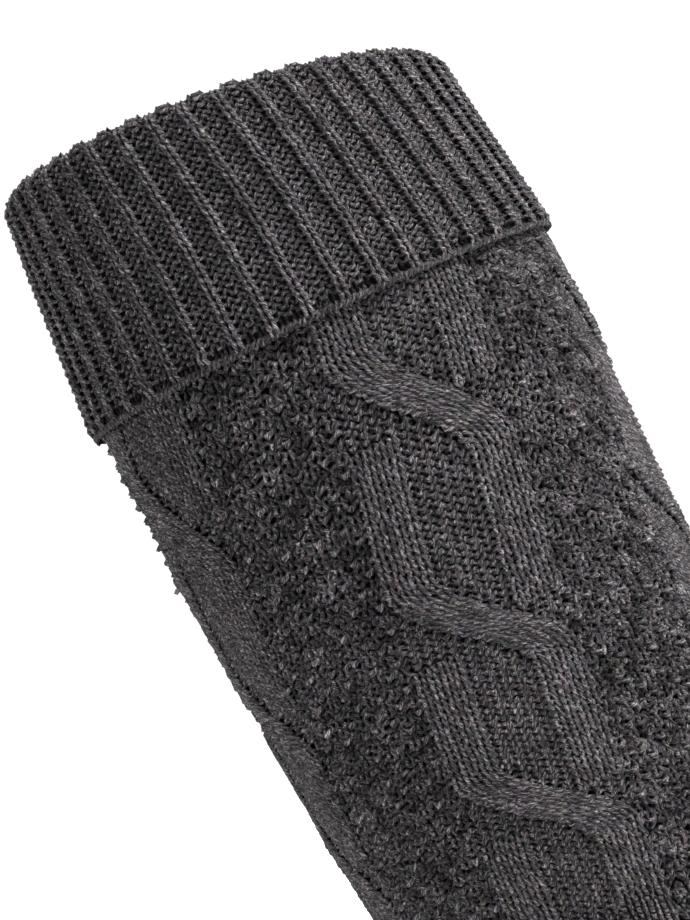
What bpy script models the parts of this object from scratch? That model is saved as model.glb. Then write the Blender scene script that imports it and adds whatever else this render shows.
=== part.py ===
"""Knee sock of thick marled knit, in the form that it has on a leg.

The sock stands upright with its opening at the origin and its toe towards -Y.
It is one hollow knitted tube in five sections: cuff, leg, heel, foot and toe.
Lengths are in metres and angles in degrees.
"""

import math

import bmesh
import bpy

# Overall sizes
SOCK_HEIGHT = 0.430
FOOT_LENGTH = 0.250
CALF_WIDTH = 0.118
CALF_DEPTH = 0.118
ANKLE_WIDTH = 0.068
ANKLE_DEPTH = 0.077
INSTEP_HEIGHT = 0.066
FOOT_WIDTH = 0.092
TOE_LENGTH = 0.048
TOE_SEAM_WIDTH = 0.044
TOE_SEAM_HEIGHT = 0.011
HEEL_BULGE = 0.011
HEEL_ROUNDNESS = 4.0
CREASE_REACH = 0.012

# Knitted walls
LEG_WALL = 0.0022
RIB_WALL = 0.0020
PIECE_GAP = 0.0003

# Turned-down cuff
CUFF_DEPTH = 0.0545
UNDER_CUFF = 0.044
FOLD_GAP = 0.0007
RIB_COUNT = 45
RIB_HEIGHT = 0.0011
RIB_DRIFT = 5.0
RIB_START = -1.6
RIM_TILT = 8.0
TILT_DEPTH = 0.075

# Levels of the flap as shares of its depth
FLAP_LEVELS = (1.0, 0.66, 0.33)

# Turns round the fold, with the share of the rib height left on each
FOLD_FORM = (
    # degrees, ribbed
    (50, 0.9),
    (90, 0.6),
    (135, 0.2),
)

# Cable ribbons on the leg
PANEL_COUNT = 5
RIBBON_HEIGHT = 0.0013
LEG_ROWS = 217
REPEAT_ROWS = 28
FIRST_CROSSING = 45
PANEL_START = 24.0
LEG_TWIST = 40.0

# Shares of the leg's drop, of the step from ankle to calf, of the leg's twist and of its rows
LEG_FORM = (
    # down, width, front, back, twist, rows
    (0.00, 0.74, 0.80, 0.62, 0.000, 0.000),
    (0.09, 0.88, 0.92, 0.80, 0.110, 0.082),
    (0.18, 1.00, 1.00, 0.97, 0.230, 0.166),
    (0.34, 0.93, 0.97, 1.00, 0.520, 0.311),
    (0.52, 0.78, 0.82, 0.78, 0.740, 0.509),
    (0.68, 0.57, 0.55, 0.45, 0.870, 0.692),
    (0.85, 0.26, 0.22, 0.12, 0.950, 0.859),
    (0.95, 0.07, 0.04, -0.02, 0.985, 0.952),
    (1.00, 0.00, 0.00, 0.00, 1.000, 1.000),
)
CALF_FRONT = 0.47
ANKLE_FRONT = 0.53

# Shares of the quarter turn at the ankle and of the step from ankle to foot
HEEL_FORM = (
    # turn, width
    (0.00, 0.00),
    (0.20, -0.02),
    (0.40, 0.00),
    (0.60, 0.08),
    (0.80, 0.19),
    (1.00, 0.30),
)
HEEL_TURNED_OUT = 0.35

# Shares of the foot's reach to the toe, of its width step and of the instep's height
FOOT_FORM = (
    # along, width, top, sole
    (0.00, 0.30, 1.00, 0.00),
    (0.30, 0.66, 0.87, 0.00),
    (0.60, 0.94, 0.72, 0.00),
    (0.82, 1.00, 0.61, 0.01),
    (1.00, 0.95, 0.54, 0.02),
)

# Shares of the toe's length and of the step from its seam to the foot
TOE_FORM = (
    # along, width, height
    (0.00, 1.00, 1.00),
    (0.25, 0.90, 0.93),
    (0.50, 0.73, 0.80),
    (0.72, 0.50, 0.60),
    (0.88, 0.27, 0.36),
    (1.00, 0.00, 0.00),
)
TOE_SEAM_LEVEL = 0.42

# Shares of one repeat of the cable from crossing to crossing, with the wale under each ribbon's middle
RIBBON_FORM = (
    # down, front ribbon, left bar, right bar
    (0.00, 6.5, 0.0, 0.5),
    (0.12, 9.4, 0.3, 0.0),
    (0.25, 11.0, 1.0, 1.0),
    (0.75, 2.0, 1.0, 1.0),
    (0.88, 3.6, 0.0, 1.0),
)
CABLE_WALES = 13
CABLE_SHARE = 0.53
BAR_LEFT = 2.0
BAR_RIGHT = 11.0
RIBBON_FLAT = 1.2
RIBBON_FOOT = 2.5
RIBBON_START = 1.15
RIBBON_END = 0.93

SOLE_FLATNESS = 0.86

# Fineness of the faceted walls
CABLE_STEPS = 8
MOSS_STEPS = 3
RIB_STEPS = 3
FOOT_STEPS = 40
HEEL_LEVELS = 9
FOOT_LEVELS = 5
LINING_STEP = 2
SEARCH_COUNT = 40

ANKLE_HEIGHT = INSTEP_HEIGHT + CREASE_REACH
LEG_DROP = SOCK_HEIGHT - ANKLE_HEIGHT
FOLD_RADIUS = RIB_WALL + FOLD_GAP / 2
PIVOT_Y = -(ANKLE_DEPTH * ANKLE_FRONT + CREASE_REACH)
PIVOT_Z = -LEG_DROP
HEEL_BACK_Y = ANKLE_DEPTH * (1 - ANKLE_FRONT) + HEEL_BULGE
TOE_TIP_Y = HEEL_BACK_Y - FOOT_LENGTH
TOE_START_Y = TOE_TIP_Y + TOE_LENGTH

YARN_COLOUR = (0.045, 0.043, 0.046, 1.0)
YARN_ROUGHNESS = 0.92


def read(table, share, column):
    """Value of one column of a table at a share, on a smooth curve through its rows."""
    rows = len(table)
    place = 0
    while place < rows - 2 and share > table[place + 1][0]:
        place += 1
    low = table[place]
    high = table[place + 1]
    before = table[max(place - 1, 0)]
    after = table[min(place + 2, rows - 1)]
    span = high[0] - low[0]
    t = min(max((share - low[0]) / span, 0.0), 1.0)
    start = (high[column] - before[column]) / max(high[0] - before[0], 1e-9) * span
    end = (after[column] - low[column]) / max(after[0] - low[0], 1e-9) * span
    return (
        (2 * t**3 - 3 * t**2 + 1) * low[column]
        + (t**3 - 2 * t**2 + t) * start
        + (-2 * t**3 + 3 * t**2) * high[column]
        + (t**3 - t**2) * end
    )


def mix(low, high, share):
    """Point at a share of the way from low to high."""
    return low + (high - low) * share


def step(edge, end, value):
    """Smooth step from 0 at the edge to 1 at the end."""
    t = min(max((value - edge) / (end - edge), 0.0), 1.0)
    return t * t * (3 - 2 * t)


def rim_slope(down):
    """Slope with which the rows near the rim rise towards -X, at a depth under it."""
    return math.tan(math.radians(RIM_TILT)) * (1 - step(0.0, TILT_DEPTH, down))


def leg_point(angle, down, out):
    """Point on the leg's skin at an angle from the front, a depth under the rim and a distance off it."""
    share = down / LEG_DROP
    wide = mix(ANKLE_WIDTH, CALF_WIDTH, read(LEG_FORM, share, 1)) / 2 + out
    front_low = ANKLE_DEPTH * ANKLE_FRONT
    front_high = CALF_DEPTH * CALF_FRONT
    back_low = ANKLE_DEPTH * (1 - ANKLE_FRONT)
    back_high = CALF_DEPTH * (1 - CALF_FRONT)
    front = mix(front_low, front_high, read(LEG_FORM, share, 2)) + out
    back = mix(back_low, back_high, read(LEG_FORM, share, 3)) + out
    turn = math.radians(angle)
    deep = front if math.cos(turn) > 0 else back
    x = wide * math.sin(turn)
    return (x, -deep * math.cos(turn), -down - rim_slope(down) * x)


def leg_angle(down):
    """Angle of the first cable panel's middle at a depth under the rim."""
    return PANEL_START - LEG_TWIST * read(LEG_FORM, down / LEG_DROP, 4)


def row_at(down):
    """Number of rows knitted between the rim and a depth under it."""
    return LEG_ROWS * read(LEG_FORM, down / LEG_DROP, 5)


def depth_of(row):
    """Depth under the rim at which a row lies."""
    low = 0.0
    high = LEG_DROP
    for _ in range(SEARCH_COUNT):
        middle = (low + high) / 2
        if row_at(middle) < row:
            low = middle
        else:
            high = middle
    return (low + high) / 2


def ribbon_lift(wale, down):
    """Height of the cable ribbons over their ground, from 0 to 1, at a wale of the panel."""
    share = (row_at(down) - FIRST_CROSSING) / REPEAT_ROWS % 1.0
    rows = RIBBON_FORM + ((1.0,) + RIBBON_FORM[0][1:],)
    place = max(i for i in range(len(rows) - 1) if rows[i][0] <= share)
    low = rows[place]
    high = rows[place + 1]
    t = (share - low[0]) / (high[0] - low[0])
    middle = low[1] if low[1] == BAR_RIGHT else mix(low[1], high[1], t)
    ribbons = (
        (middle, 1.0),
        (BAR_LEFT, mix(low[2], high[2], t)),
        (BAR_RIGHT, mix(low[3], high[3], t)),
    )
    lifts = [height * (1 - step(RIBBON_FLAT, RIBBON_FOOT, abs(wale - at))) for at, height in ribbons]
    top = step(CUFF_DEPTH, CUFF_DEPTH * RIBBON_START, down)
    return max(lifts) * top * (1 - step(RIBBON_END, 1.0, down / LEG_DROP))


def section_lift(turn, flatness):
    """Cosine of an angle on a section whose underside is flattened."""
    lift = math.cos(turn)
    return lift if lift > 0 else -(abs(lift) ** flatness)


def heel_point(angle, turned, out):
    """Point on the heel's skin at a share of the quarter turn from the leg to the foot."""
    turn = math.radians(angle)
    quarter = math.radians(90 * turned)
    front = mix(ANKLE_DEPTH * ANKLE_FRONT, INSTEP_HEIGHT / 2, turned)
    back = CREASE_REACH + ANKLE_DEPTH + HEEL_BULGE * step(0.0, HEEL_TURNED_OUT, turned)
    level = (math.sin(quarter) / ANKLE_HEIGHT) ** HEEL_ROUNDNESS
    upright = (max(math.cos(quarter), 0.0) / back) ** HEEL_ROUNDNESS
    depth = (level + upright) ** (-1 / HEEL_ROUNDNESS) - CREASE_REACH
    wide = mix(ANKLE_WIDTH, FOOT_WIDTH, read(HEEL_FORM, turned, 1)) / 2 + out
    reach = (front if math.cos(turn) > 0 else depth - front) + out
    lift = section_lift(turn, mix(1.0, SOLE_FLATNESS, turned))
    away = CREASE_REACH + front - reach * lift
    return (
        wide * math.sin(turn),
        PIVOT_Y + away * math.cos(quarter),
        PIVOT_Z - away * math.sin(quarter),
    )


def foot_size(along):
    """Half width, top height and sole height of the foot at a share of its way to the toe."""
    wide = mix(ANKLE_WIDTH, FOOT_WIDTH, read(FOOT_FORM, along, 1)) / 2
    top = INSTEP_HEIGHT * read(FOOT_FORM, along, 2)
    sole = INSTEP_HEIGHT * read(FOOT_FORM, along, 3)
    return wide, top, sole


def foot_ring_point(angle, y, wide, top, sole, out):
    """Point on an upright ring of the foot, flatter under the sole than over the instep."""
    turn = math.radians(angle)
    middle = mix(sole, top, 0.5)
    half = (top - sole) / 2 + out
    lift = section_lift(turn, SOLE_FLATNESS)
    return ((wide + out) * math.sin(turn), y, middle + half * lift - SOCK_HEIGHT)


def ring(bm, points):
    """Vertices of one closed ring."""
    return [bm.verts.new(point) for point in points]


def bridge(bm, first, second):
    """Faces between two rings with as many vertices each."""
    count = len(first)
    for i in range(count):
        j = (i + 1) % count
        bm.faces.new((first[i], first[j], second[j], second[i]))


def cap(bm, vertices):
    """Fan of faces that closes a ring."""
    middle = [sum(v.co[axis] for v in vertices) / len(vertices) for axis in range(3)]
    centre = bm.verts.new(middle)
    count = len(vertices)
    for i in range(count):
        bm.faces.new((vertices[i], vertices[(i + 1) % count], centre))


def closed_wall(bm, rings):
    """Wall through a list of rings that ends where it began."""
    for i, current in enumerate(rings):
        bridge(bm, current, rings[(i + 1) % len(rings)])


def make_object(name, bm):
    """One smooth closed object of knitted wool from a finished mesh."""
    bmesh.ops.triangulate(bm, faces=bm.faces)
    bmesh.ops.recalc_face_normals(bm, faces=bm.faces)
    mesh = bpy.data.meshes.new(name)
    bm.to_mesh(mesh)
    bm.free()
    mesh.shade_smooth()
    material = bpy.data.materials.new(name + "_wool")
    material.use_nodes = True
    shader = material.node_tree.nodes["Principled BSDF"]
    shader.inputs["Base Color"].default_value = YARN_COLOUR
    shader.inputs["Roughness"].default_value = YARN_ROUGHNESS
    shader.inputs["Metallic"].default_value = 0.0
    mesh.materials.append(material)
    item = bpy.data.objects.new(name, mesh)
    bpy.context.scene.collection.objects.link(item)
    return item


def rib_angles(down):
    """Angles of the cuff's lengthwise edges, three to a rib: its crest and both sides of its trough."""
    share = min(max(down / CUFF_DEPTH, 0.0), 1.0)
    drift = RIB_DRIFT * (1 - share) ** 2
    count = RIB_COUNT * RIB_STEPS
    return [360 * i / count + RIB_START - drift for i in range(count)]


def cuff_ring(bm, down, out, ribbed):
    """Ring of the cuff's wall, whose crests stand out by the share of the rib height given."""
    points = []
    for i, angle in enumerate(rib_angles(down)):
        crest = RIB_HEIGHT * ribbed if i % RIB_STEPS == 0 else 0.0
        points.append(leg_point(angle, max(down, 0.0), out + crest))
    return ring(bm, points)


def make_cuff():
    """Rib that goes up inside, folds over at the rim and comes down outside the leg."""
    bm = bmesh.new()
    middle = FOLD_GAP / 2
    outer = FOLD_GAP + RIB_WALL
    rings = [cuff_ring(bm, CUFF_DEPTH * share, outer, 1.0) for share in FLAP_LEVELS]
    rings.append(cuff_ring(bm, FOLD_RADIUS, outer, 1.0))
    for degrees, ribbed in FOLD_FORM:
        bend = math.radians(degrees)
        out = middle + FOLD_RADIUS * math.cos(bend)
        down = FOLD_RADIUS * (1 - math.sin(bend))
        rings.append(cuff_ring(bm, down, out, ribbed))
    rings += [
        cuff_ring(bm, FOLD_RADIUS, -RIB_WALL, 0.0),
        cuff_ring(bm, UNDER_CUFF, -RIB_WALL, 0.0),
        cuff_ring(bm, UNDER_CUFF, 0.0, 0.0),
        cuff_ring(bm, FOLD_RADIUS, 0.0, 0.0),
        cuff_ring(bm, FOLD_RADIUS - middle, middle, 0.0),
        cuff_ring(bm, FOLD_RADIUS, FOLD_GAP, 0.0),
        cuff_ring(bm, CUFF_DEPTH, FOLD_GAP, 0.0),
    ]
    closed_wall(bm, rings)
    return make_object("cuff", bm)


def leg_stations():
    """Edges around one panel as (share of the panel's arc, wale of the cable)."""
    shares = [i / CABLE_STEPS for i in range(CABLE_STEPS + 1)]
    stations = [(CABLE_SHARE * share, CABLE_WALES * share) for share in shares]
    moss = 1 - CABLE_SHARE
    stations += [(CABLE_SHARE + moss * i / MOSS_STEPS, None) for i in range(1, MOSS_STEPS)]
    return stations


def leg_levels():
    """Depths of the leg's rings, placed where the cable ribbons change course."""
    end = LEG_DROP - PIECE_GAP
    levels = []
    repeat = -1
    while FIRST_CROSSING + REPEAT_ROWS * repeat < LEG_ROWS:
        levels += [depth_of(FIRST_CROSSING + REPEAT_ROWS * (repeat + row[0])) for row in RIBBON_FORM]
        repeat += 1
    spare = LEG_WALL
    levels = [down for down in levels if CUFF_DEPTH + spare < down < end - spare]
    return [UNDER_CUFF + PIECE_GAP, CUFF_DEPTH] + levels + [end]


def leg_ring(bm, down, out, ribbons):
    """Ring of the leg's wall, with the cable ribbons raised on it or not."""
    points = []
    arc = 360 / PANEL_COUNT
    for panel in range(PANEL_COUNT):
        for share, wale in leg_stations():
            angle = leg_angle(down) + arc * (panel + share - CABLE_SHARE / 2)
            lift = RIBBON_HEIGHT * ribbon_lift(wale, down) if ribbons and wale is not None else 0.0
            points.append(leg_point(angle, down, out + lift))
    return ring(bm, points)


def make_leg():
    """Patterned tube from under the cuff to the ankle."""
    bm = bmesh.new()
    levels = leg_levels()
    rings = [leg_ring(bm, down, 0.0, True) for down in levels]
    lining = [levels[0]] + [LEG_DROP * row[0] for row in LEG_FORM if row[0] * LEG_DROP > CUFF_DEPTH]
    lining[-1] = levels[-1]
    rings += [leg_ring(bm, down, -LEG_WALL, False) for down in reversed(lining)]
    closed_wall(bm, rings)
    return make_object("leg", bm)


def foot_angles():
    """Angles around the heel, foot and toe."""
    return [360 * i / FOOT_STEPS for i in range(FOOT_STEPS)]


def make_heel():
    """Wedge that turns the tube from the leg to the foot round the crease in front of the ankle."""
    bm = bmesh.new()
    shares = [i / HEEL_LEVELS for i in range(HEEL_LEVELS + 1)]
    rings = [ring(bm, [heel_point(a, s, 0.0) for a in foot_angles()]) for s in shares]
    lining = [1.0] + shares[-1 - LINING_STEP : 0 : -LINING_STEP] + [0.0]
    rings += [ring(bm, [heel_point(a, s, -LEG_WALL) for a in foot_angles()]) for s in lining]
    closed_wall(bm, rings)
    return make_object("heel", bm)


def foot_ring(bm, along, out):
    """Ring of the foot's wall at a share of its way to the toe."""
    y = mix(PIVOT_Y - PIECE_GAP, TOE_START_Y, along)
    wide, top, sole = foot_size(along)
    return ring(bm, [foot_ring_point(a, y, wide, top, sole, out) for a in foot_angles()])


def make_foot():
    """Plain tube from the heel to the toe."""
    bm = bmesh.new()
    shares = [i / FOOT_LEVELS for i in range(FOOT_LEVELS + 1)]
    rings = [foot_ring(bm, s, 0.0) for s in shares]
    lining = [1.0] + shares[-1 - LINING_STEP : 0 : -LINING_STEP] + [0.0]
    rings += [foot_ring(bm, s, -LEG_WALL) for s in lining]
    closed_wall(bm, rings)
    return make_object("foot", bm)


def toe_ring(bm, row, out, y):
    """Ring of the toe's wall for one row of its form."""
    wide, top, sole = foot_size(1.0)
    seam = mix(sole, top, TOE_SEAM_LEVEL)
    wide = mix(TOE_SEAM_WIDTH / 2, wide, row[1])
    top = mix(seam + TOE_SEAM_HEIGHT / 2, top, row[2])
    sole = mix(seam - TOE_SEAM_HEIGHT / 2, sole, row[2])
    return ring(bm, [foot_ring_point(a, y, wide, top, sole, out) for a in foot_angles()])


def make_toe():
    """Cup that closes the foot, ending in a short flat seam."""
    bm = bmesh.new()
    start = TOE_START_Y - PIECE_GAP
    outer = [toe_ring(bm, row, 0.0, mix(start, TOE_TIP_Y, row[0])) for row in TOE_FORM]
    tip = TOE_TIP_Y + LEG_WALL
    inner = [toe_ring(bm, row, -LEG_WALL, mix(start, tip, row[0])) for row in TOE_FORM]
    for rings in (outer, inner):
        for first, second in zip(rings, rings[1:]):
            bridge(bm, first, second)
        cap(bm, rings[-1])
    bridge(bm, outer[0], inner[0])
    return make_object("toe", bm)


def main():
    """Clear the scene and knit the sock from cuff to toe."""
    for item in list(bpy.data.objects):
        bpy.data.objects.remove(item)
    for make in (make_cuff, make_leg, make_heel, make_foot, make_toe):
        make()


main()
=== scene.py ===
"""Knee sock of thick charcoal marled yarn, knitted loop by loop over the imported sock.

The yarn of the cuff and the leg is modelled as real loops. The plain foot and the inside
of the sock are smooth walls whose stitches come from their material.
"""

import logging
import math
from dataclasses import dataclass, field, replace
from enum import Enum
from typing import Callable

import bpy
import numpy as np
from mathutils import Euler, Matrix, Vector


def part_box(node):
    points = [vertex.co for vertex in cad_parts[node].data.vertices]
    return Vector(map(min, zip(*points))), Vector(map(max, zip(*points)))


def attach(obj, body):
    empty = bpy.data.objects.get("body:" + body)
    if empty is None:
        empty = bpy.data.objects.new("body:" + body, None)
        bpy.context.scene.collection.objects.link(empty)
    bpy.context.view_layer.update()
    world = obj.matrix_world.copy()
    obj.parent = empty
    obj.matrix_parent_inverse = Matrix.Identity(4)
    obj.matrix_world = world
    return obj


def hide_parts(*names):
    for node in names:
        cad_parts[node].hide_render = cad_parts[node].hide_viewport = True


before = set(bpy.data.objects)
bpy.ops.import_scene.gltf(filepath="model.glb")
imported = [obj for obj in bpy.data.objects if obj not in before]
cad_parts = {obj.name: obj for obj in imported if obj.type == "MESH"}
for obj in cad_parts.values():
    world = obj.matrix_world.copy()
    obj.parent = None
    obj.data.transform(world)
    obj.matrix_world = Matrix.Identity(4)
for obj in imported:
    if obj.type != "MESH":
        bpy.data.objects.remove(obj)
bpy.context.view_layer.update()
LOG = logging.getLogger("knee_sock")
Socket = bpy.types.NodeSocket

SEED = 7
EDGE_SEED = SEED + 9
TURN = 2 * math.pi
FULL_CIRCLE = 360.0
YARN_MAP = "yarn"
STITCH_MAP = "stitches"
# Mesh attribute that carries painted shade in the hollows between loops, times each stitch's own random
# tone.
SHADE_NAME = "shade"
CURVE_STEPS = 800
# Step outwards that finds the direction off a surface, in metres.
PROBE = 0.001
# Each row's map starts this much further along the yarn, so that rows don't repeat.
ROW_SHIFT_MM = 37.0
# Yarn of three sides is drawn thicker, and painted paler as painted light that makes up for its flatter
# shading, to look like yarn of four.
FLAT_YARN = 1.12
FLAT_PAINTED_LIGHT = 1.15
PLAINEST_PAINTED_LIGHT = 1.34


class Stitch(Enum):
    """The two stitches of a knitted fabric, by the side on which their legs lie."""

    KNIT = 1.0
    PURL = -1.0


class Slot(Enum):
    """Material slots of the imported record."""

    RIB = "rib_knit"
    CABLE = "cable_knit"
    PLAIN = "plain_knit"


@dataclass(frozen=True)
class LegLevel:
    """One level of the leg, as shares of the leg's drop and of its named sizes."""

    down: float
    width: float
    front: float
    back: float
    twist: float
    rows: float


LEG_FORM = (
    LegLevel(0.00, 0.74, 0.80, 0.62, 0.000, 0.000),
    LegLevel(0.09, 0.88, 0.92, 0.80, 0.110, 0.082),
    LegLevel(0.18, 1.00, 1.00, 0.97, 0.230, 0.166),
    LegLevel(0.34, 0.93, 0.97, 1.00, 0.520, 0.311),
    LegLevel(0.52, 0.78, 0.82, 0.78, 0.740, 0.509),
    LegLevel(0.68, 0.57, 0.55, 0.45, 0.870, 0.692),
    LegLevel(0.85, 0.26, 0.22, 0.12, 0.950, 0.859),
    LegLevel(0.95, 0.07, 0.04, -0.02, 0.985, 0.952),
    LegLevel(1.00, 0.00, 0.00, 0.00, 1.000, 1.000),
)


@dataclass(frozen=True)
class HeelLevel:
    """One level of the heel, as a share of its quarter turn and of the step from ankle to foot."""

    turn: float
    width: float


HEEL_FORM = (
    HeelLevel(0.00, 0.00),
    HeelLevel(0.20, -0.02),
    HeelLevel(0.40, 0.00),
    HeelLevel(0.60, 0.08),
    HeelLevel(0.80, 0.19),
    HeelLevel(1.00, 0.30),
)


@dataclass(frozen=True)
class FootLevel:
    """One level of the foot, as shares of its reach, its width step and the instep's height."""

    along: float
    width: float
    top: float
    sole: float


FOOT_FORM = (
    FootLevel(0.00, 0.30, 1.00, 0.00),
    FootLevel(0.30, 0.66, 0.87, 0.00),
    FootLevel(0.60, 0.94, 0.72, 0.00),
    FootLevel(0.82, 1.00, 0.61, 0.01),
    FootLevel(1.00, 0.95, 0.54, 0.02),
)


@dataclass(frozen=True)
class ToeLevel:
    """One level of the toe, as shares of its length and of the step from its seam to the foot."""

    along: float
    width: float
    height: float


TOE_FORM = (
    ToeLevel(0.00, 1.00, 1.00),
    ToeLevel(0.25, 0.90, 0.93),
    ToeLevel(0.50, 0.73, 0.80),
    ToeLevel(0.72, 0.50, 0.60),
    ToeLevel(0.88, 0.27, 0.36),
    ToeLevel(1.00, 0.00, 0.00),
)


def read(table: tuple, column: str, share: np.ndarray) -> np.ndarray:
    """Read one column of a form table on a smooth curve through its levels.

    Args:
        table: Levels in order, whose first field is the share that they stand at.
        column: Name of the field to read.
        share: Shares to read it at.

    Returns:
        The column's value at each share.
    """
    first = next(iter(table[0].__dataclass_fields__))
    at = np.array([getattr(level, first) for level in table])
    value = np.array([getattr(level, column) for level in table])
    slope = np.empty_like(value)
    slope[1:-1] = (value[2:] - value[:-2]) / (at[2:] - at[:-2])
    slope[0] = (value[1] - value[0]) / (at[1] - at[0])
    slope[-1] = (value[-1] - value[-2]) / (at[-1] - at[-2])
    share = np.asarray(share, float)
    place = np.clip(np.searchsorted(at, share, side="right") - 1, 0, len(at) - 2)
    span = at[place + 1] - at[place]
    t = np.clip((share - at[place]) / span, 0.0, 1.0)
    return (
        (2 * t**3 - 3 * t**2 + 1) * value[place]
        + (t**3 - 2 * t**2 + t) * slope[place] * span
        + (-2 * t**3 + 3 * t**2) * value[place + 1]
        + (t**3 - t**2) * slope[place + 1] * span
    )


def mix(low: np.ndarray, high: np.ndarray, share: np.ndarray) -> np.ndarray:
    """Return the point at a share of the way from low to high."""
    return low + (high - low) * share


def step(edge: float, end: float, value: np.ndarray) -> np.ndarray:
    """Return a smooth step from 0 at the edge to 1 at the end."""
    t = np.clip((value - edge) / (end - edge), 0.0, 1.0)
    return t * t * (3 - 2 * t)


@dataclass(frozen=True)
class SockForm:
    """The sock's worn form, in metres, with its opening at the origin and its toe towards -Y."""

    height: float = -float(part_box("foot")[0][2])
    cuff_depth: float = 0.0545
    foot_length: float = 0.250
    calf_width: float = 0.118
    calf_depth: float = 0.118
    calf_front: float = 0.47
    ankle_width: float = 0.068
    ankle_depth: float = 0.077
    ankle_front: float = 0.53
    instep_height: float = 0.066
    foot_width: float = 0.092
    toe_length: float = 0.048
    toe_seam_width: float = 0.044
    toe_seam_height: float = 0.011
    toe_seam_level: float = 0.42
    heel_bulge: float = 0.011
    heel_roundness: float = 4.0
    heel_turned_out: float = 0.35
    crease_reach: float = 0.012
    sole_flatness: float = 0.86
    wall: float = 0.0022
    rib_wall: float = 0.0020
    fold_gap: float = 0.0007
    rim_tilt: float = 8.0
    tilt_depth: float = 0.075
    under_cuff: float = 0.044
    fold_bend: float = 0.0016
    rib_drift: float = 5.0
    rib_start: float = -1.6
    panel_start: float = 24.0
    leg_twist: float = 40.0
    leg_rows: int = 217
    last_course: float = 0.0018

    @property
    def leg_drop(self) -> float:
        """Depth of the ankle under the rim."""
        return self.height - self.instep_height - self.crease_reach

    @property
    def pivot_y(self) -> float:
        """Place of the crease that the heel turns round."""
        return -(self.ankle_depth * self.ankle_front + self.crease_reach)

    @property
    def toe_tip_y(self) -> float:
        """Foremost place of the toe."""
        return self.ankle_depth * (1 - self.ankle_front) + self.heel_bulge - self.foot_length

    @property
    def toe_start_y(self) -> float:
        """Place where the toe meets the foot."""
        return self.toe_tip_y + self.toe_length

    def leg(self, angle: np.ndarray, down: np.ndarray, out: np.ndarray) -> np.ndarray:
        """Find points on the leg.

        Args:
            angle: Degrees from the front, towards +X.
            down: Depths under the rim.
            out: Distances outside the skin.

        Returns:
            The points, with their three coordinates last.
        """
        share = np.clip(down, 0.0, None) / self.leg_drop
        wide = mix(self.ankle_width, self.calf_width, read(LEG_FORM, "width", share)) / 2 + out
        ankle_front = self.ankle_depth * self.ankle_front
        ankle_back = self.ankle_depth - ankle_front
        calf_front = self.calf_depth * self.calf_front
        calf_back = self.calf_depth - calf_front
        front = mix(ankle_front, calf_front, read(LEG_FORM, "front", share)) + out
        back = mix(ankle_back, calf_back, read(LEG_FORM, "back", share)) + out
        turn = np.radians(angle)
        deep = np.where(np.cos(turn) > 0, front, back)
        x = wide * np.sin(turn)
        slope = math.tan(math.radians(self.rim_tilt)) * (1 - step(0.0, self.tilt_depth, down))
        return np.stack(np.broadcast_arrays(x, -deep * np.cos(turn), -down - slope * x), -1)

    def lean(self, down: np.ndarray) -> np.ndarray:
        """Return the angle of the first cable panel's middle at depths under the rim."""
        return self.panel_start - self.leg_twist * read(LEG_FORM, "twist", down / self.leg_drop)

    def depth_of(self, row: np.ndarray) -> np.ndarray:
        """Find the depths under the rim at which rows of the leg lie.

        Args:
            row: Row numbers from the rim.

        Returns:
            The depths.
        """
        share = np.linspace(0, 1, CURVE_STEPS)
        rows = self.leg_rows * read(LEG_FORM, "rows", share)
        last = (row - self.leg_rows).clip(0) * self.last_course
        return np.interp(row, rows, share * self.leg_drop) + last

    def cuff(self, angle: np.ndarray, along: np.ndarray, out: np.ndarray) -> np.ndarray:
        """Find points on the turned-down cuff's middle surface.

        Args:
            angle: Degrees from the front, towards +X.
            along: Distances from the hem, up the flap, over the fold and down inside.
            out: Distances off the middle surface, away from the fold's core.

        Returns:
            The points, with their three coordinates last.
        """
        middle = self.fold_gap / 2
        fold = self.rib_wall + middle
        bend = self.fold_bend
        straight = self.cuff_depth - fold
        turned = np.clip((along - straight) / bend, 0.0, math.pi)
        inside = np.clip(along - straight - math.pi * bend, 0.0, None)
        reach = bend + out
        off = middle + reach * np.cos(turned)
        down = fold - reach * np.sin(turned) + np.clip(straight - along, 0.0, None) + inside
        drift = self.rib_drift * (1 - np.clip(down / self.cuff_depth, 0.0, 1.0)) ** 2
        return self.leg(angle + self.rib_start - drift, down, off)

    def heel(self, angle: np.ndarray, turned: np.ndarray, out: np.ndarray) -> np.ndarray:
        """Find points on the heel.

        Args:
            angle: Degrees round the tube from its front or instep side.
            turned: Shares of the quarter turn from the leg to the foot.
            out: Distances outside the skin.

        Returns:
            The points, with their three coordinates last.
        """
        turn = np.radians(angle)
        quarter = np.radians(90 * turned)
        front = mix(self.ankle_depth * self.ankle_front, self.instep_height / 2, turned)
        bulge = self.heel_bulge * step(0.0, self.heel_turned_out, turned)
        back = self.crease_reach + self.ankle_depth + bulge
        power = self.heel_roundness
        level = (np.sin(quarter) / (self.instep_height + self.crease_reach)) ** power
        upright = (np.clip(np.cos(quarter), 0.0, None) / back) ** power
        depth = (level + upright) ** (-1 / power) - self.crease_reach
        wide = mix(self.ankle_width, self.foot_width, read(HEEL_FORM, "width", turned)) / 2 + out
        reach = np.where(np.cos(turn) > 0, front, depth - front) + out
        away = self.crease_reach + front - reach * self.lift(turn, mix(1.0, self.sole_flatness, turned))
        y = self.pivot_y + away * np.cos(quarter)
        z = -self.leg_drop - away * np.sin(quarter)
        return np.stack(np.broadcast_arrays(wide * np.sin(turn), y, z), -1)

    @staticmethod
    def lift(turn: np.ndarray, flatness: np.ndarray) -> np.ndarray:
        """Return the cosine of an angle on a section whose underside is flattened."""
        cosine = np.cos(turn)
        return np.where(cosine > 0, cosine, -(np.abs(cosine) ** flatness))

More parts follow.
